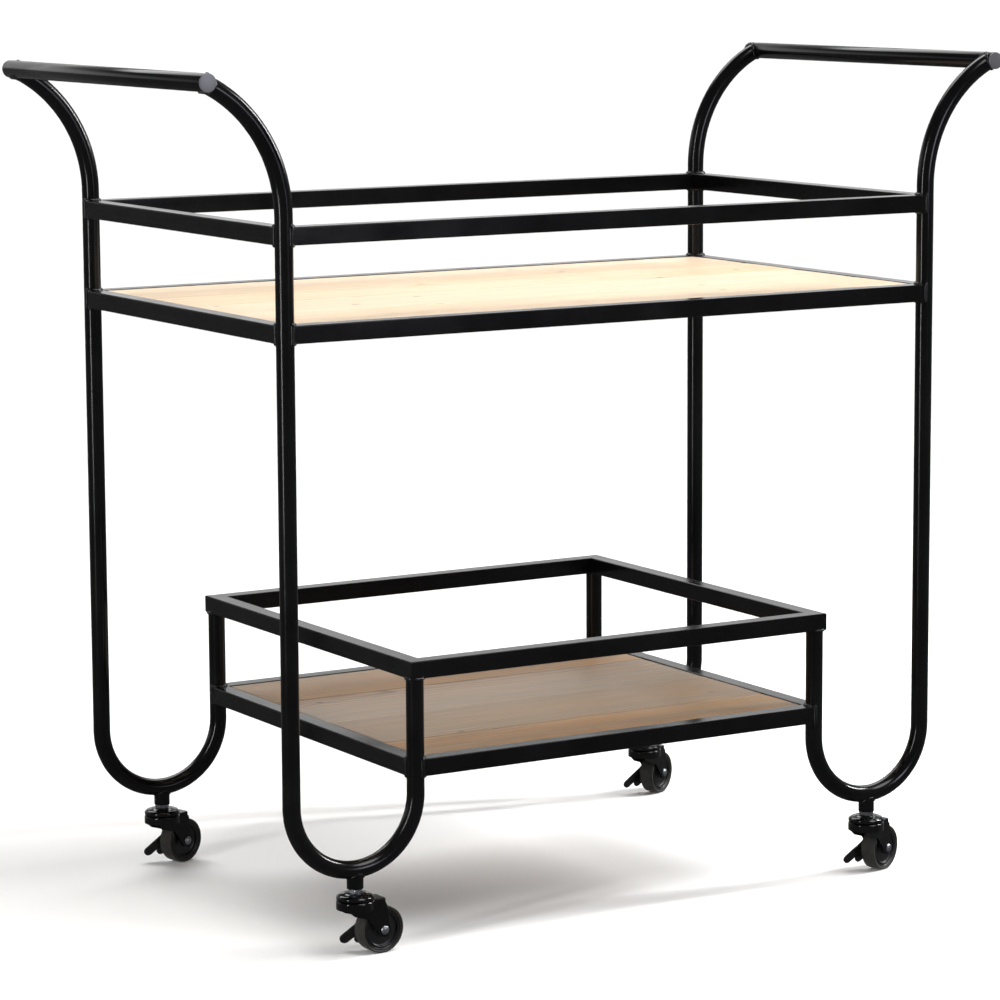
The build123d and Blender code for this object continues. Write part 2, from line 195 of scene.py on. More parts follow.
# %% [markdown]
# ## Casters: dipped black steel
# Caster parts are small pressings, coated in a dip tank. The coat is thinner and glossier than
# spray, so it keeps the small dents of the press and shows sharp white glints.

# %% Dipped black
dipped_black = enamel("dipped_black_steel", 1.8, (0.1, 0.17), "#040405", "#09090a", 0.03,
                      level=0.3)
print("enamel:", dipped_black.name)

# %% [markdown]
# ## Bare and plated metals
# Nuts and bolt heads are zinc plated: a pale, slightly blue grey with a soft, cloudy gloss. The
# bearing balls are polished steel. Both are metals, so the colour sits in the reflection and the
# index of refraction stays at its default.

# %% Metals
def metal(name, dark, light, gloss, grain_mm, depth):
    """Bright metal with a fine cloudy grain of grain_mm."""
    material, tree, shader, place = start_material(name, Metallic=1.0)
    cloud = add(tree, "ShaderNodeTexNoise", {"Vector": place, "Scale": 1 / (grain_mm * MM),
                                             "Detail": 4.0, "Roughness": 0.65})
    shade = add(tree, "ShaderNodeValToRGB", {"Fac": cloud.outputs["Fac"]},
                stops=[(0.32, colour(dark)), (0.62, colour(light))])
    tree.links.new(shade.outputs["Color"], shader.inputs["Base Color"])
    rough = add(tree, "ShaderNodeMapRange", {"Value": cloud.outputs["Fac"], "To Min": gloss[1],
                                             "To Max": gloss[0]})
    tree.links.new(rough.outputs["Result"], shader.inputs["Roughness"])
    bump = add(tree, "ShaderNodeBump", {"Height": cloud.outputs["Fac"], "Strength": 0.5,
                                        "Distance": depth * MM})
    tree.links.new(bump.outputs["Normal"], shader.inputs["Normal"])
    return material


zinc_plate = metal("bright_zinc_plate", "#74777b", "#a9acaf", (0.24, 0.42), 1.2, 0.02)
ball_steel = metal("polished_ball_steel", "#b4b6b8", "#d8d9da", (0.08, 0.14), 2.5, 0.004)
print("metals:", zinc_plate.name, ball_steel.name)

# %% [markdown]
# ## Brake lever: black coat worn to steel
# A foot works the lever's tabs, so the coat goes thin and the steel shows in specks. A noise
# with a high threshold picks the specks, and the same noise makes them brighter and metallic.

# %% Worn lever
def worn_lever():
    material, tree, shader, place = start_material("scuffed_black_steel", IOR=1.45)
    scuff = add(tree, "ShaderNodeTexNoise", {"Vector": place, "Scale": 1 / (2.4 * MM),
                                             "Detail": 6.0, "Roughness": 0.75})
    bare = add(tree, "ShaderNodeMapRange", {"Value": scuff.outputs["Fac"], "From Min": 0.62,
                                            "From Max": 0.72})
    shade = add(tree, "ShaderNodeMix", {0: bare.outputs["Result"], 6: colour("#0b0b0c"),
                                        7: colour("#8a8c8f")}, data_type="RGBA")
    tree.links.new(shade.outputs[2], shader.inputs["Base Color"])
    tree.links.new(bare.outputs["Result"], shader.inputs["Metallic"])
    rough = add(tree, "ShaderNodeMapRange", {"Value": scuff.outputs["Fac"], "From Min": 0.3,
                                             "From Max": 0.7, "To Min": 0.2, "To Max": 0.46})
    tree.links.new(rough.outputs["Result"], shader.inputs["Roughness"])
    bump = add(tree, "ShaderNodeBump", {"Height": scuff.outputs["Fac"], "Strength": 0.6,
                                        "Distance": 0.05 * MM})
    tree.links.new(bump.outputs["Normal"], shader.inputs["Normal"])
    return material


lever_steel = worn_lever()
print("lever:", lever_steel.name)

# %% [markdown]
# ## Rubber tread and moulded wheel
# The tyre is vulcanised rubber, a warm dark grey with almost no gloss and a dry, powdery edge
# that a little sheen gives. The wheel is black polypropylene from a polished mould: smoother,
# with a faint flow pattern. Neither has any metal in it.

# %% Rubber and plastic
def moulded(name, dark, light, gloss, grain_mm, depth, **numbers):
    material, tree, shader, place = start_material(name, **numbers)
    grit = add(tree, "ShaderNodeTexNoise", {"Vector": place, "Scale": 1 / (grain_mm * MM),
                                            "Detail": 5.0, "Roughness": 0.7})
    flow = add(tree, "ShaderNodeTexNoise", {"Vector": place, "Scale": 1 / (14 * MM),
                                            "Detail": 3.0, "Distortion": 0.8})
    shade = add(tree, "ShaderNodeValToRGB", {"Fac": flow.outputs["Fac"]},
                stops=[(0.3, colour(dark)), (0.7, colour(light))])
    tree.links.new(shade.outputs["Color"], shader.inputs["Base Color"])
    rough = add(tree, "ShaderNodeMapRange", {"Value": grit.outputs["Fac"], "From Min": 0.3,
                                             "From Max": 0.7, "To Min": gloss[0],
                                             "To Max": gloss[1]})
    tree.links.new(rough.outputs["Result"], shader.inputs["Roughness"])
    bump = add(tree, "ShaderNodeBump", {"Height": grit.outputs["Fac"], "Strength": 0.7,
                                        "Distance": depth * MM})
    tree.links.new(bump.outputs["Normal"], shader.inputs["Normal"])
    return material


tread_rubber = moulded("vulcanised_tread_rubber", "#15140f", "#24231c", (0.6, 0.8), 0.6, 0.08,
                       IOR=1.45, Sheen_Weight=0.08, Sheen_Roughness=0.5)
wheel_plastic = moulded("black_polypropylene", "#0b0b0c", "#131314", (0.26, 0.4), 0.9, 0.02,
                        IOR=1.49)
print("moulded:", tread_rubber.name, wheel_plastic.name)

# %% [markdown]
# ## Wood
# A board is cut lengthwise from a log, so its face shows the growth rings as long arches where
# the saw ran near the heart and as straight lines towards the edges. Painting lines would repeat;
# instead the material holds the log itself: rings around a heart line that wanders, cut by the
# board wherever the board happens to lie. Three finer layers follow: fibres about 1 mm wide and
# 90 mm long, slow blotches of sap, and a few knots, around which the rings swell. The boards are
# sanded and get a thin matt lacquer.

# %% Board material
WOODS = {
    # finish: early wood, late wood, blotch, knot, rings' spacing in mm, depth of the blotches
    "pale": ("#e9cda8", "#c9a67c", "#ecd9be", "#6d4f38", 6.0, 0.5),
    "brown": ("#83653f", "#553d27", "#655740", "#2a1d13", 4.2, 0.8),
}


def board_material(name, finish, heart, shift, tone_and_painted_shade):
    """Wood for one board. heart is the middle of the log's rings in the frame, shift moves the
    pattern along the log, and the last argument is (hue, saturation, value) of this plank: its
    own tone, and on the lower boards also painted light and shade in the value."""
    early, late, blotch, knot_tone, spacing, depth = WOODS[finish]
    material, tree, shader, place = start_material(name, IOR=1.47, Coat_Weight=0.12,
                                                   Coat_Roughness=0.38)
    log = add(tree, "ShaderNodeVectorMath", {0: place, 1: (shift, *heart)},
              operation="SUBTRACT").outputs["Vector"]

    # knots: one chance in each cell of 300 by 110 mm, drawn out along the board
    cell = add(tree, "ShaderNodeMapping", {"Vector": log, "Scale": (1 / 0.3, 1 / 0.11, 0)})
    knots = add(tree, "ShaderNodeTexVoronoi", {"Vector": cell.outputs["Vector"], "Scale": 1.0,
                                               "Randomness": 1.0}, voronoi_dimensions="2D")
    ragged = add(tree, "ShaderNodeTexNoise", {"Vector": log, "Scale": 1 / (9 * MM),
                                              "Detail": 3.0})
    edge = add(tree, "ShaderNodeMath", {0: ragged.outputs["Fac"], 1: 0.02,
                                        2: knots.outputs["Distance"]}, operation="MULTIPLY_ADD")
    knot = add(tree, "ShaderNodeMapRange", {"Value": edge.outputs["Value"], "From Min": 0.02,
                                            "From Max": 0.034, "To Min": 1.0, "To Max": 0.0})
    swell = add(tree, "ShaderNodeMapRange", {"Value": knots.outputs["Distance"],
                                             "From Min": 0.0, "From Max": 0.22,
                                             "To Min": 6 * MM, "To Max": 0.0},
                interpolation_type="SMOOTHSTEP")

    # the heart line wanders by some 20 mm over a metre or more of log
    slow = add(tree, "ShaderNodeMapping", {"Vector": log, "Scale": (0.1, 1, 1)})
    wander = add(tree, "ShaderNodeTexNoise", {"Vector": slow.outputs["Vector"],
                                              "Scale": 1 / 0.14, "Detail": 2.0})
    offset = add(tree, "ShaderNodeVectorMath", {0: wander.outputs["Color"],
                                                1: (0, 0.022, 0.022), 2: log},
                 operation="MULTIPLY_ADD")
    bulge = add(tree, "ShaderNodeCombineXYZ", {"Z": swell.outputs["Result"]})
    bent = add(tree, "ShaderNodeVectorMath", {0: offset.outputs["Vector"],
                                              1: bulge.outputs["Vector"]}, operation="ADD")
    # a ring wave of scale s repeats every 2 pi / (20 s)
    rings = add(tree, "ShaderNodeTexWave",
                {"Vector": bent.outputs["Vector"], "Scale": 2 * math.pi / (20 * spacing * MM),
                 "Distortion": 0.5, "Detail": 2.0, "Detail Scale": 0.6},
                wave_type="RINGS", rings_direction="X", wave_profile="SAW")
    grain = add(tree, "ShaderNodeValToRGB", {"Fac": rings.outputs["Fac"]},
                stops=[(0.0, colour(early)), (0.55, colour(early)), (0.93, colour(late)),
                       (1.0, colour(early))])

    # sap blotches and streaks along the board
    along = add(tree, "ShaderNodeMapping", {"Vector": log, "Scale": (1.6, 26, 26)})
    sap = add(tree, "ShaderNodeTexNoise", {"Vector": along.outputs["Vector"], "Scale": 1.0,
                                           "Detail": 3.0, "Roughness": 0.6})
    patch = add(tree, "ShaderNodeMapRange", {"Value": sap.outputs["Fac"], "From Min": 0.4,
                                             "From Max": 0.7, "To Max": depth})
    tinted = add(tree, "ShaderNodeMix", {0: patch.outputs["Result"], 6: grain.outputs["Color"],
                                         7: colour(blotch)}, data_type="RGBA")

    # fibres
    hair = add(tree, "ShaderNodeMapping", {"Vector": log, "Scale": (1 / 0.09, 1 / MM, 1 / MM)})
    fibre = add(tree, "ShaderNodeTexNoise", {"Vector": hair.outputs["Vector"], "Scale": 1.0,
                                             "Detail": 3.0, "Roughness": 0.6})
    fibre_tone = add(tree, "ShaderNodeMapRange", {"Value": fibre.outputs["Fac"],
                                                  "From Min": 0.35, "From Max": 0.7,
                                                  "To Min": 1.04, "To Max": 0.86})
    lined = add(tree, "ShaderNodeMix", {0: 1.0, 6: tinted.outputs[2],
                                        7: fibre_tone.outputs["Result"]},
                data_type="RGBA", blend_type="MULTIPLY")
    knotted = add(tree, "ShaderNodeMix", {0: knot.outputs["Result"], 6: lined.outputs[2],
                                          7: colour(knot_tone)}, data_type="RGBA")
    # each plank's own tone; on the lower boards the value also carries painted light and shade
    plank = add(tree, "ShaderNodeHueSaturation", {"Color": knotted.outputs[2],
                                                  "Hue": tone_and_painted_shade[0], "Saturation": tone_and_painted_shade[1],
                                                  "Value": tone_and_painted_shade[2]})
    tree.links.new(plank.outputs["Color"], shader.inputs["Base Color"])

    rough = add(tree, "ShaderNodeMapRange", {"Value": fibre.outputs["Fac"], "From Min": 0.3,
                                             "From Max": 0.7, "To Min": 0.44, "To Max": 0.64})
    tree.links.new(rough.outputs["Result"], shader.inputs["Roughness"])
    relief = add(tree, "ShaderNodeMath", {0: rings.outputs["Fac"], 1: 0.35,
                                          2: fibre.outputs["Fac"]}, operation="MULTIPLY_ADD")
    bump = add(tree, "ShaderNodeBump", {"Height": relief.outputs["Value"], "Strength": 0.6,
                                        "Distance": 0.12 * MM})
    tree.links.new(bump.outputs["Normal"], shader.inputs["Normal"])
    return material


print("woods:", ", ".join(WOODS))

# %% [markdown]
# ## One way to make every mesh
# A bent tube, a turned wheel, a weld bead and a planed board have something in common: each is a
# row of equal outlines with a skin over them. One function puts on the skin, and the pieces
# below differ only in their outlines. The faces come out as clean quads, with a flat cap at each
# end, and every solid is closed.

# %% Helpers for meshes
def skin(outlines, closed=False):
    """Points and faces over a row of outlines with equally many points."""
    count, rows = len(outlines[0]), len(outlines)
    points = [point for outline in outlines for point in outline]
    faces = []
    for row in range(rows if closed else rows - 1):
        here, there = row * count, (row + 1) % rows * count
        for i in range(count):
            j = (i + 1) % count
            faces.append([here + i, here + j, there + j, there + i])
    if not closed:
        faces.append(list(range(count)))
        faces.append([(rows - 1) * count + i for i in range(count)])
    return points, faces


def joined(parts):
    """One list of points and one of faces for several solids."""
    points, faces = [], []
    for more_points, more_faces in parts:
        start = len(points)
        points += more_points
        faces += [[start + i for i in face] for face in more_faces]
    return points, faces


def piece(name, parts, material, body, slot, *replaced):
    """Makes one object from several solids and puts it on its body, in place of CAD nodes."""
    points, faces = joined(parts)
    mesh = bpy.data.meshes.new(name)
    mesh.from_pydata(points, [], faces)
    work = bmesh.new()
    work.from_mesh(mesh)
    bmesh.ops.recalc_face_normals(work, faces=work.faces)
    work.to_mesh(mesh)
    work.free()
    mesh.shade_smooth()
    mesh.set_sharp_from_angle(angle=math.radians(38))
    mesh.materials.append(material)
    made = bpy.data.objects.new(name, mesh)
    bpy.context.scene.collection.objects.link(made)
    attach(made, body)
    if replaced:
        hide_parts(*replaced)
    print(f"{name}: {len(mesh.polygons)} faces")
    return made


def softened(corners, radius, steps=4, loop=True):
    """An outline with a short curve, as large as radius, in place of each corner."""
    made = []
    for i, here in enumerate(corners):
        if not loop and i in (0, len(corners) - 1):
            made.append(here)
            continue
        arms = [other - here for other in (corners[i - 1], corners[(i + 1) % len(corners)])]
        start, stop = [here + arm.normalized() * min(radius, arm.length * 0.49) for arm in arms]
        for step in range(steps + 1):
            t = step / steps
            made.append(start.lerp(here, t).lerp(here.lerp(stop, t), t))
    return made


def turned(profile, centre, axis, sides=72, closed=True):
    """A shape turned about an axis through centre. profile is (along, radius) points."""
    axis = Vector(axis).normalized()
    across = axis.orthogonal().normalized()
    up = axis.cross(across)
    outlines = []
    for along, radius in profile:
        outlines.append([
            centre + axis * along + (across * math.cos(a) + up * math.sin(a)) * radius
            for a in (2 * math.pi * i / sides for i in range(sides))
        ])
    return skin(outlines, closed)


def millimetres(*pairs):
    return [Vector(pair) * MM for pair in pairs]


# %% [markdown]
# ## Legs
# Each leg is one length of tube, bent cold round a former. It comes up from the lower tray's
# frame, and its top curls outwards to the push bar. Its centre line is straight runs and arcs, so
# it is written that way: the arcs give the round bends of a tube bender, which a free curve
# would not. The top end is cut to a saddle, so that it sits on the bar with no gap.

# %% Bent tube
CURL_R = 150 * MM
curl_end = math.acos(1 - (grip.x - leg_x) / CURL_R)
curl_z = grip.z - CURL_R * math.sin(curl_end)


def arc(centre, radius, start, stop, step=2.5):
    """Points of an arc, angles in degrees from the first axis."""
    count = max(2, round(abs(stop - start) / step))
    angles = [math.radians(start + (stop - start) * i / count) for i in range(count + 1)]
    return [Vector(centre) + Vector((math.cos(a), math.sin(a))) * radius for a in angles]


def round_tube(path, radius, normal, sides=48):
    """Outlines of a round tube along a path in one plane. normal is square to that plane."""
    outlines = []
    for i, here in enumerate(path):
        along = (path[min(i + 1, len(path) - 1)] - path[max(i - 1, 0)]).normalized()
        up = normal.cross(along)
        outlines.append([
            here + (normal * math.cos(a) + up * math.sin(a)) * radius
            for a in (2 * math.pi * k / sides for k in range(sides))
        ])
    return outlines


def saddle(outline, along, bar):
    """Moves an end outline back until it lies on a bar that runs across, along Y."""
    cut = []
    for point in outline:
        out = Vector((point.x - bar.x, 0, point.z - bar.z))
        lead = out.dot(along)
        reach = max(lead * lead - (out.length_squared - tube_r * tube_r), 0.0)
        cut.append(point - along * (lead + math.sqrt(reach)))
    return cut


post_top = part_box("lower_gallery_front_rail")[0].z
flat_path = [Vector((inner_x, post_top))]
flat_path += arc((stem_x, bend_z), bend_r, 180, 360)
flat_path += arc((leg_x + CURL_R, curl_z), CURL_R, 180, 180 - math.degrees(curl_end))
saddles = {}
for end, side in CORNERS:
    y = leg_y[end]
    bar = Vector((SIGN[side] * grip.x, y, grip.z))
    path = [Vector((SIGN[side] * out, y, z)) for out, z in flat_path]
    last = (path[-1] - path[-2]).normalized()
    path = [p for p in path if (p - bar).length > 1.3 * tube_r] + [path[-1]]
    outlines = round_tube(path, tube_r, Vector((0, 1, 0)))
    outlines[-1] = saddle(outlines[-1], last, bar)
    saddles[end, side] = outlines[-1]
    piece(f"bent_leg_{end}_{side}", [skin(outlines)], frame_enamel, "cart_frame",
          "frame_paint", f"leg_tube_{end}_{side}")

# %% [markdown]
# ## Push bars and their end discs
# The bars are the same tube. Each end is closed by a disc of sheet with its edge broken, set on
# the tube with a hairline of weld around it. The bar and its discs are turned shapes, and the
# hairline is a real groove in the mesh, because it catches the light.

# %% Push bars
DISC_T = 2.0
GROOVE = 0.6 * MM           # the hairline between a bar and its disc, half of its width
GROOVE_DEPTH = 0.35 * MM
bar_low, bar_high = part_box("handle_bar_left")
for side in ("left", "right"):
    centre = Vector((SIGN[side] * grip.x, 0, grip.z))
    ends = [bar_low.y, bar_low.y + GROOVE, bar_high.y - GROOVE, bar_high.y]
    radii = [tube_r - GROOVE_DEPTH, tube_r, tube_r, tube_r - GROOVE_DEPTH]
    bar = turned(list(zip(ends, radii)), centre, (0, 1, 0), sides=64, closed=False)
    piece(f"push_bar_{side}", [bar], frame_enamel, "cart_frame", "frame_paint",
          f"handle_bar_{side}")

disc = millimetres((0, 9.2), (0.5, 9.5), (DISC_T, 9.5), (DISC_T, 0.5))
disc = softened(disc, 0.6 * MM, loop=False)
discs = []
for side in ("left", "right"):
    for outer, face in ((-1, bar_low.y), (1, bar_high.y)):
        centre = Vector((SIGN[side] * grip.x, face, grip.z))
        discs.append(turned(disc, centre, (0, outer, 0), sides=64, closed=False))
piece("push_bar_end_discs", discs, painted_reflection_disc_paint, "cart_frame", "frame_paint",
      "handle_end_caps")

# %% [markdown]
# ## Weld beads
# Every joint of the frame is welded all round and then painted. A bead is a row of overlapping
# puddles, so it is made as a thin worm whose girth rises and falls every 1.7 mm, laid half into
# the corner that it fills. It is geometry, because its glints are what tell a welded joint from
# two tubes pushed together.

# %% Bead helper
PUDDLE = 1.7 * MM
WALK = 0.42 * MM            # step along a bead, four to a puddle
BAR_BEAD, TRAY_BEAD, POST_BEAD, SOCKET_BEAD = 1.7 * MM, 2.3 * MM, 1.7 * MM, 1.2 * MM


def spaced(points, step, loop):
    """Points along a line, about step apart, corners kept."""
    made = []
    for i, here in enumerate(points if loop else points[:-1]):
        there = points[(i + 1) % len(points)]
        count = max(1, round((there - here).length / step))
        made += [here.lerp(there, k / count) for k in range(count)]
    return made if loop else made + [points[-1]]


def bead(points, radius, loop=True):
    """A weld bead along points."""
    path = spaced(points, WALK, loop)
    outlines = []
    run = 0.0
    for i, here in enumerate(path):
        before = path[i - 1] if loop or i else here
        after = path[(i + 1) % len(path)] if loop or i + 1 < len(path) else here
        along = (after - before).normalized()
        across = along.cross(Vector((0.31, 0.27, 0.91))).normalized()
        up = across.cross(along)
        run += (here - before).length
        ripple = 1 + 0.09 * abs(math.sin(math.pi * run / PUDDLE))
        girth = radius * ripple * (1 + 0.07 * math.sin(run / (6.1 * MM) + here.x * 40))
        if not loop and i in (0, len(path) - 1):
            girth *= 0.4
        outlines.append([
            here + (across * math.cos(a) + up * math.sin(a)) * girth
            for a in (2 * math.pi * k / 10 for k in range(10))
        ])
    return skin(outlines, closed=loop)


bar_beads = [bead(points, BAR_BEAD) for points in saddles.values()]
piece("weld_beads_push_bars", bar_beads, weld_enamel, "cart_frame", "frame_paint")

# %% [markdown]
# At a tray's corner two rails meet round the leg. The bead runs over the top in an arc around
# the inside of the leg, down the outer seam, back underneath and up again, in one loop.

# %% Tray corners
SEAM = 4 * MM
seam_angle = math.degrees(math.acos(SEAM / tube_r))
TRAYS = {"upper_gallery": leg_x, "upper_shelf": leg_x, "lower_shelf": inner_x}


def corner_loop(leg, inwards, low, high):
    """The joint line at one corner. inwards is (x sign, y sign) towards the cart's middle."""
    over = arc((0, 0), tube_r, -seam_angle, 90 + seam_angle, step=6)

    def at(point, z):
        return Vector((leg.x + point.x * inwards[0], leg.y + point.y * inwards[1], z))

    return [at(p, high) for p in over] + [at(p, low) for p in reversed(over)]


for tray, half_x in TRAYS.items():
    low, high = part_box(f"{tray}_front_rail")
    beads = []
    for end, side in CORNERS:
        leg = Vector((SIGN[side] * half_x, leg_y[end]))
        loop = corner_loop(leg, (-SIGN[side], -SIGN[end]), low.z, high.z)
        beads.append(bead(loop, TRAY_BEAD))
    piece(f"weld_beads_{tray}", beads, weld_enamel, "cart_frame", "frame_paint")

# %% [markdown]
# The lower gallery sits on top of the four posts, so its beads are plain rings below it. A ring
# of weld also ties each caster socket to the bend above, and follows the bend's round belly.

# %% Post and socket beads
beads = []
for end, side in CORNERS:
    ring = [Vector((SIGN[side] * inner_x + p.x, leg_y[end] + p.y, post_top))
            for p in arc((0, 0), tube_r, 0, 352, step=8)]
    beads.append(bead(ring, POST_BEAD))
piece("weld_beads_lower_gallery", beads, weld_enamel, "cart_frame", "frame_paint")

socket_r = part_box("caster_sockets")[1].x - stem_x
beads = []
for end, side in CORNERS:
    ring = []
    for p in arc((0, 0), socket_r, 0, 352, step=8):
        belly = bend_r + math.sqrt(tube_r ** 2 - p.y ** 2)
        z = bend_z - math.sqrt(belly ** 2 - p.x ** 2)
        ring.append(Vector((SIGN[side] * stem_x + p.x, leg_y[end] + p.y, z)))
    beads.append(bead(ring, SOCKET_BEAD))
piece("weld_beads_caster_sockets", beads, weld_enamel, "cart_frame", "frame_paint")

# %% [markdown]
# ## Boards
# A sanded board isn't a box: its top edges are broken by hand, and it cups a little as it dries.
# Each board is one outline, with round top corners and a top that rises 0.25 mm in the middle,
# carried from end to end. Boards also settle at slightly different heights.

# %% Boards
def plank(low, high, crown, drop):
    """Points and faces of one board between two corners of its box."""
    half, mid = (high.y - low.y) / 2, (high.y + low.y) / 2
    edge = 0.8 * MM
    top = high.z - drop
    outline = [Vector((-half, low.z)), Vector((half, low.z))]
    outline += [Vector((half, top - crown - edge))]
    outline += arc((half - edge, top - crown - edge), edge, 0, 90, step=22)
    for i in range(1, 12):
        t = 1 - i / 6
        outline.append(Vector((t * (half - edge), top - crown * t * t)))
    outline += arc((edge - half, top - crown - edge), edge, 90, 180, step=22)
    rows = [(low.x, edge), (low.x + 0.3 * edge, 0.3 * edge), (low.x + edge, 0.0),
            (high.x - edge, 0.0), (high.x - 0.3 * edge, 0.3 * edge), (high.x, edge)]
    return skin([
        [Vector((x, mid + y * (1 - inset / half), max(z - inset, low.z)))
         for y, z in outline] for x, inset in rows
    ])


# heart of the log across and below each board, in mm; tone as hue, saturation, value, where the
# lower boards' brighter outer and darker middle values are painted light and shade; drop
PLANKS = {
    "upper_board_1": ((88, -46), (0.5, 1.0, 1.01), 0.1),
    "upper_board_2": ((-94, -54), (0.503, 0.92, 1.0), 0.3),
    "upper_board_3": ((70, -80), (0.499, 1.05, 0.99), 0.0),
    "upper_board_4": ((92, -44), (0.5, 0.95, 1.0), 0.2),
    # the lower boards' values, brighter on the two outer boards and darker on the middle two, are
    # painted light and shade under the upper shelf
    "lower_board_1": ((70, -48), (0.496, 1.3, 1.16), 0.2),
    "lower_board_2": ((-84, -62), (0.5, 1.0, 0.86), 0.0),
    "lower_board_3": ((84, -50), (0.5, 0.88, 0.97), 0.3),
    "lower_board_4": ((-76, -62), (0.498, 1.1, 1.16), 0.1),
}
for number, (name, (heart, tone_and_painted_shade, drop)) in enumerate(PLANKS.items()):
    low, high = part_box(name)
    finish = "pale" if name.startswith("upper") else "brown"
    place = ((low.y + high.y) / 2 + heart[0] * MM, high.z + heart[1] * MM)
    wood = board_material(f"lacquered_{finish}_wood_{number % 4 + 1}", finish, place,
                          0.37 * number, tone_and_painted_shade)
    piece(f"plank_{name}", [plank(low, high, 0.25 * MM, drop * MM)], wood, "cart_frame",
          f"{finish}_boards", name)

# %% [markdown]
# ## Rails, flat bars and the sockets
# These come straight from the frame, because their shape is already right: square tube with
# round edges, mitred and coped. They only need their paint. Screws are zinc plated.

# %% Finishes on carried-over parts
def finish_nodes(material, *starts):
    """Gives a material to every frame node whose name starts with one of the words."""
    named = [name for name in nodes if name.startswith(starts)]
    for name in named:
        nodes[name].data.materials.clear()
        nodes[name].data.materials.append(material)
    print(f"{material.name}: {len(named)} nodes")


finish_nodes(frame_enamel, "upper_gallery", "upper_shelf", "upper_support", "lower_gallery",
             "lower_shelf", "lower_support", "caster_sockets")
finish_nodes(zinc_plate, "upper_board_screws", "lower_board_screws")
finish_nodes(ball_steel, "swivel_balls")
finish_nodes(dipped_black, "fork_")
finish_nodes(lever_steel, "brake_lever_")

# %% [markdown]
# ## Tyre and wheel
# The tyre is a band of rubber with a flat tread, small round shoulders, and the thin line where
# the two halves of its mould met. The wheel inside it is a dished disc between a hub and a rim
# with two lips, and the lips are what catch the light. Both are profiles turned about the axle.

# %% Wheels
TYRE = softened(millimetres(
    (-7.6, 22.05), (-7.6, 22.9), (-8.5, 23.5), (-8.5, 25.1), (-4.0, 25.22), (-0.35, 25.25),
    (-0.2, 25.4), (0.2, 25.4), (0.35, 25.25), (4.0, 25.22), (8.5, 25.1), (8.5, 23.5),
    (7.6, 22.9), (7.6, 22.05)), 0.6 * MM)
HALF_WHEEL = [(9.2, 3.1), (9.2, 6.3), (8.6, 6.9), (5.4, 7.4), (4.6, 9.0), (4.6, 16.4),
              (5.2, 17.6), (7.6, 18.3), (7.6, 19.2), (6.8, 19.8), (6.8, 20.6), (7.6, 21.1),
              (7.6, 21.95)]
WHEEL = softened(millimetres(*HALF_WHEEL, *((-a, r) for a, r in reversed(HALF_WHEEL))),
                 0.35 * MM, steps=3)


def wheel_place(corner):
    joint = joints[f"wheel_spin_{corner}"]
    return Vector(joint["pos_m"]), Vector(joint["axis"])


for end, side in CORNERS:
    corner = f"{end}_{side}"
    axle, axis = wheel_place(corner)
    piece(f"rubber_tyre_{corner}", [turned(TYRE, axle, axis, sides=96)], tread_rubber,
          f"wheel_{corner}", "tyre_rubber", f"tyre_{corner}")
    piece(f"moulded_wheel_{corner}", [turned(WHEEL, axle, axis, sides=96)], wheel_plastic,
          f"wheel_{corner}", "wheel_plastic", f"wheel_core_{corner}")

# %% [markdown]
# ## Nuts and axle bolts
# A nut is a hexagon whose six corners are turned away by a cone at each end, which leaves the
# arched edges that every real nut has. The outline at each height is the smaller of the hexagon
# and the cone, so the arches come out by themselves. The bolt has a low domed head.

# %% Nuts and bolts
def nut(centre, axis, turn, flats, thick, bore, sides=96):
    """A hex nut that starts at centre and grows along axis. turn is its angle in degrees."""
    axis = Vector(axis).normalized()
    across = Matrix.Rotation(math.radians(turn), 3, axis) @ axis.orthogonal().normalized()
    up = axis.cross(across)
    cone = 0.96 * flats / 2
    drop = (flats / math.sqrt(3) - cone) * math.tan(math.radians(30))
    heights = [(0, 0), (0, 1)] + [(drop * t, 2) for t in (0.25, 0.5, 0.75, 1)]
    heights += [(thick - drop * t, 3) for t in (1, 0.75, 0.5, 0.25)] + [(thick, 1), (thick, 0)]
    outlines = []
    for height, kind in heights:
        outline = []
        for i in range(sides):
            a = 2 * math.pi * i / sides
            hexagon = flats / 2 / math.cos(a % (math.pi / 3) - math.pi / 6)
            depth = min(height, thick - height)
            slope = cone + depth / math.tan(math.radians(30))
            radius = {0: bore, 1: cone}.get(kind, min(hexagon, slope))
            outline.append(centre + axis * height
                           + (across * math.cos(a) + up * math.sin(a)) * radius)
        outlines.append(outline)
    return skin(outlines, closed=True)


JAM_FLATS, JAM_BORE = 14 * MM, 4.0 * MM
nut_low, nut_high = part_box("caster_jam_nuts")
jam_nuts = []
for end, side in CORNERS:
    x, y, _ = joints[f"swivel_{end}_{side}"]["pos_m"]
    turn = 17 + 23 * len(jam_nuts)          # each nut came to rest at its own angle
    jam_nuts.append(nut(Vector((x, y, nut_low.z)), (0, 0, 1), turn, JAM_FLATS,
                        nut_high.z - nut_low.z, JAM_BORE))
piece("jam_nuts", jam_nuts, zinc_plate, "cart_frame", "zinc_plate", "caster_jam_nuts")

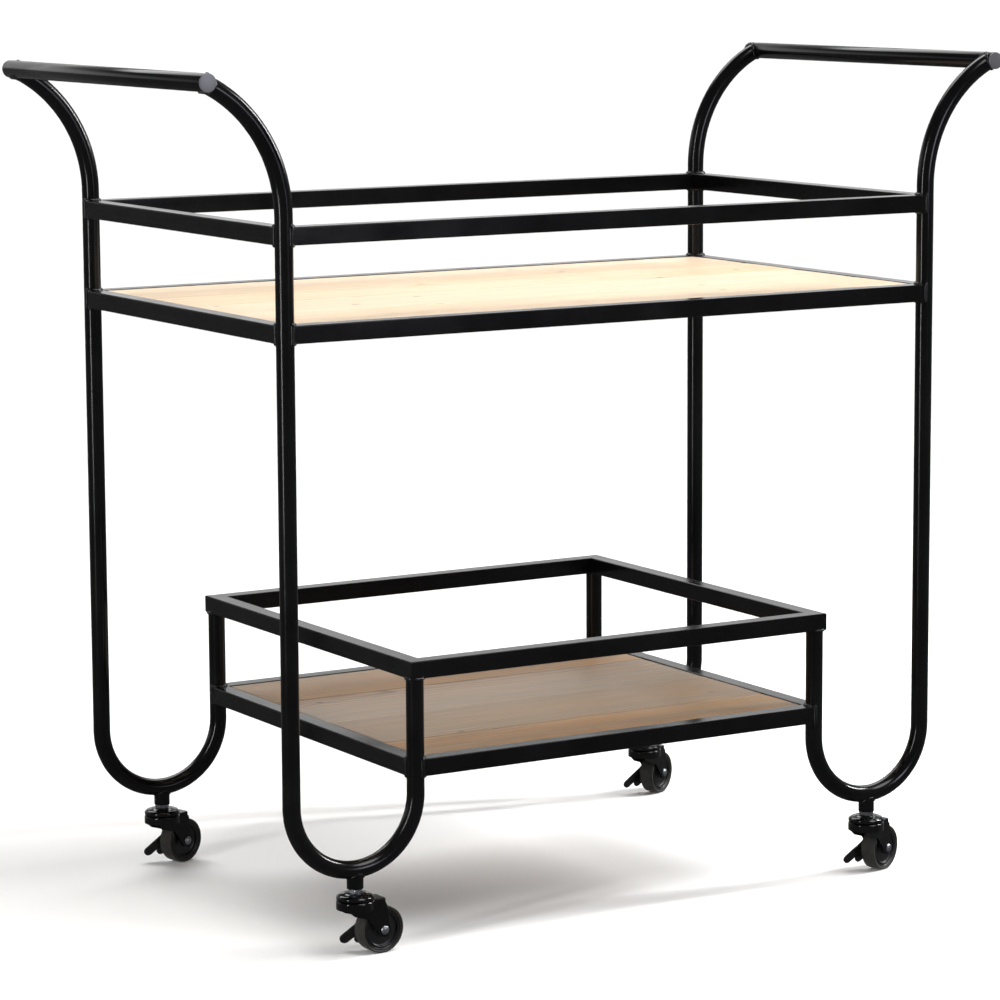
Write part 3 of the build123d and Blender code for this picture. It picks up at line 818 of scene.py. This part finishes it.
BOLT = softened(millimetres(
    (-14.5, 0.4), (-14.35, 2.2), (-13.5, 3.9), (-12.4, 4.8), (-11.55, 4.8), (-11.55, 3.0),
    (21.0, 3.0), (21.0, 0.4)), 0.3 * MM, loop=False)
AXLE_NUT_PLACE, AXLE_NUT_FLATS, AXLE_NUT_T, AXLE_NUT_BORE = 14.4, 10, 4.5, 2.9
for end, side in CORNERS:
    corner = f"{end}_{side}"
    axle, axis = wheel_place(corner)
    solids = [turned(BOLT, axle, axis, closed=False),
              nut(axle + axis * AXLE_NUT_PLACE * MM, axis, 8, AXLE_NUT_FLATS * MM,
                  AXLE_NUT_T * MM, AXLE_NUT_BORE * MM)]
    piece(f"axle_{corner}", solids, zinc_plate, f"swivel_{corner}", "zinc_plate",
          f"axle_bolt_{corner}")

# %% [markdown]
# ## Raceway plates
# Above each fork sits a pressed cap on the stem. Its shoulder steps down in two soft curves to a
# rolled lip, and the two rings of light on those curves are the brightest thing on the caster.

# %% Raceway plates
stem_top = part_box("caster_stems")[1].z
PLATE = softened(millimetres(
    (54.2, 0.4), (54.2, 7.0), (57.2, 7.0), (57.2, 4.0), (65.4, 4.0), (65.4, 10.0),
    (64.6, 16.0), (63.2, 18.2), (61.0, 18.2), (61.0, 20.0), (64.0, 20.0), (66.2, 17.4),
    (66.9, 12.6), (67.8, 10.6), (67.8, 4.0)), 0.8 * MM, loop=False)
PLATE += [Vector((stem_top, 4.0 * MM)), Vector((stem_top, 0.4 * MM))]
plates = []
for end, side in CORNERS:
    x, y, _ = joints[f"swivel_{end}_{side}"]["pos_m"]
    plates.append(turned(PLATE, Vector((x, y, 0)), (0, 0, 1), sides=80, closed=False))
piece("raceway_plates_and_stems", plates, dipped_black, "cart_frame", "caster_black",
      "caster_stems")

# %% [markdown]
# ## Floor
# The floor is one very large pale plane, so no horizon shows. It gets light and shadow as usual,
# but it is left out of gloss: a white floor mirrored in the square tubes would turn them grey.

# %% Floor
floor_mesh = bpy.data.meshes.new("floor")
FLOOR_HALF = 90.0
floor_mesh.from_pydata([(x * FLOOR_HALF, y * FLOOR_HALF, 0) for x, y in
                        ((-1, -1), (1, -1), (1, 1), (-1, 1))], [], [(0, 1, 2, 3)])
floor = bpy.data.objects.new("floor", floor_mesh)
bpy.context.scene.collection.objects.link(floor)
floor_paint, _, floor_shader, _ = start_material("pale_floor", Roughness=0.8, IOR=1.3)
floor_shader.inputs["Base Color"].default_value = colour("#f4f4f3")
floor_mesh.materials.append(floor_paint)
floor.visible_glossy = False

# %% [markdown]
# ## Lamps
# Black gloss shows only what it reflects, so each lamp has one job. A tall strip on the left and
# one on the right draw the bright lines along the tubes, and a soft box in front lights the end
# discs. A broad ceiling light gives the boards their tone and the floor its soft shadow.

# %% Lights
def lamp(name, place, target, width, height, power, tint):
    """A soft box of width by height metres that faces target."""
    light = bpy.data.lights.new(name, "AREA")
    light.shape = "RECTANGLE"
    light.size, light.size_y = width, height
    light.energy = power
    light.color = colour(tint)[:3]
    box = bpy.data.objects.new(name, light)
    box.location = place
    box.rotation_euler = (Vector(target) - Vector(place)).to_track_quat("-Z", "Y").to_euler()
    box.visible_camera = False
    bpy.context.scene.collection.objects.link(box)


centre = Vector((0, 0, 0.6))
lamp("left_strip", (-2.7, -0.85, 1.15), (0, 0, 1.15), 0.12, 2.2, 40, "#ffffff")
lamp("right_strip", (2.7, -0.5, 1.9), centre, 0.18, 1.3, 90, "#ffffff")
lamp("front_box", (1.2, -3.7, 1.15), centre, 0.7, 1.0, 26, "#e8e8f8")
sun = bpy.data.objects.new("ceiling_light", bpy.data.lights.new("ceiling_light", "SUN"))
sun.data.energy = 1.75
sun.data.angle = math.radians(30)
sun.rotation_euler = Vector((0.3, -0.42, 0.86)).to_track_quat("Z", "Y").to_euler()
bpy.context.scene.collection.objects.link(sun)
print("lamps:", ", ".join(light.name for light in bpy.data.lights))

# %% [markdown]
# ## The room around the cart
# A studio has bright parts behind the object that the camera never sees. Lamps placed there would
# light the floor unevenly, so they are painted on the world instead, by direction: a pale wall
# low behind the cart, which the tops of the rails mirror, and a bright box high behind it, which
# draws the long lines on the curls. All the rest of the room is dim.

# %% World
world = bpy.data.worlds.new("studio")
bpy.context.scene.world = world
world.use_nodes = True
room = world.node_tree
room.nodes.clear()
toward = add(room, "ShaderNodeTexCoord").outputs["Generated"]
parts = add(room, "ShaderNodeSeparateXYZ", {"Vector": toward})


def soft_step(value, start, stop):
    """0 to 1 between two values, eased at both."""
    return add(room, "ShaderNodeMapRange", {"Value": value, "From Min": start, "From Max": stop},
               interpolation_type="SMOOTHSTEP").outputs["Result"]


def times(first, second):
    return add(room, "ShaderNodeMath", {0: first, 1: second},
               operation="MULTIPLY").outputs["Value"]


ROOM_LIGHT, WALL_LIGHT, BOX_LIGHT = 0.15, 0.85, 5.0
height = parts.outputs["Z"]
low_wall = times(times(soft_step(parts.outputs["Y"], 0.1, 0.7), soft_step(height, 0.4, 0.2)),
                 soft_step(height, 0.0, 0.08))
high_box = times(times(soft_step(parts.outputs["Y"], 0.3, 0.45), soft_step(height, 0.48, 0.56)),
                 times(soft_step(height, 0.88, 0.82), soft_step(parts.outputs["X"], -0.3, -0.2)))
level = add(room, "ShaderNodeMath", {0: low_wall, 1: WALL_LIGHT, 2: ROOM_LIGHT},
            operation="MULTIPLY_ADD")
level = add(room, "ShaderNodeMath", {0: high_box, 1: BOX_LIGHT, 2: level.outputs["Value"]},
            operation="MULTIPLY_ADD")
sky = add(room, "ShaderNodeBackground", {"Color": colour("#ffffff"),
                                         "Strength": level.outputs["Value"]})
add(room, "ShaderNodeOutputWorld", {"Surface": sky.outputs["Background"]})
bpy.context.scene.view_settings.view_transform = "Standard"
print("room, wall and box:", ROOM_LIGHT, WALL_LIGHT, BOX_LIGHT)

# %% [markdown]
# ## Camera
# A long lens some four metres away keeps the uprights nearly parallel, as in a catalogue. It
# stands to the front left, a little above the push bars, and looks slightly down. Yaw, pitch and
# roll are in degrees and are turned into the camera's three axes.

# %% Camera
cart_y = (leg_y["front"] + leg_y["back"]) / 2
CAMERA_PLACE = Vector((-2.1908, cart_y - 3.6277, 1.0642))
YAW, PITCH, ROLL = (math.radians(a) for a in (-30.969, -8.563, -0.299))
LENS = 137.17
forward = Vector((-math.sin(YAW) * math.cos(PITCH), math.cos(YAW) * math.cos(PITCH),
                  math.sin(PITCH)))
right = forward.cross(Vector((0, 0, 1))).normalized()
up = right.cross(forward)
tilted_right = right * math.cos(ROLL) + up * math.sin(ROLL)
tilted_up = up * math.cos(ROLL) - right * math.sin(ROLL)
camera = bpy.data.objects.new("camera", bpy.data.cameras.new("camera"))
camera.data.lens = LENS
camera.data.sensor_width = 36.0
camera.matrix_world = Matrix.Translation(CAMERA_PLACE) @ Matrix(
    (tilted_right, tilted_up, -forward)).transposed().to_4x4()
bpy.context.scene.collection.objects.link(camera)
bpy.context.scene.camera = camera
print("camera at", [round(c, 2) for c in CAMERA_PLACE], "lens", LENS)
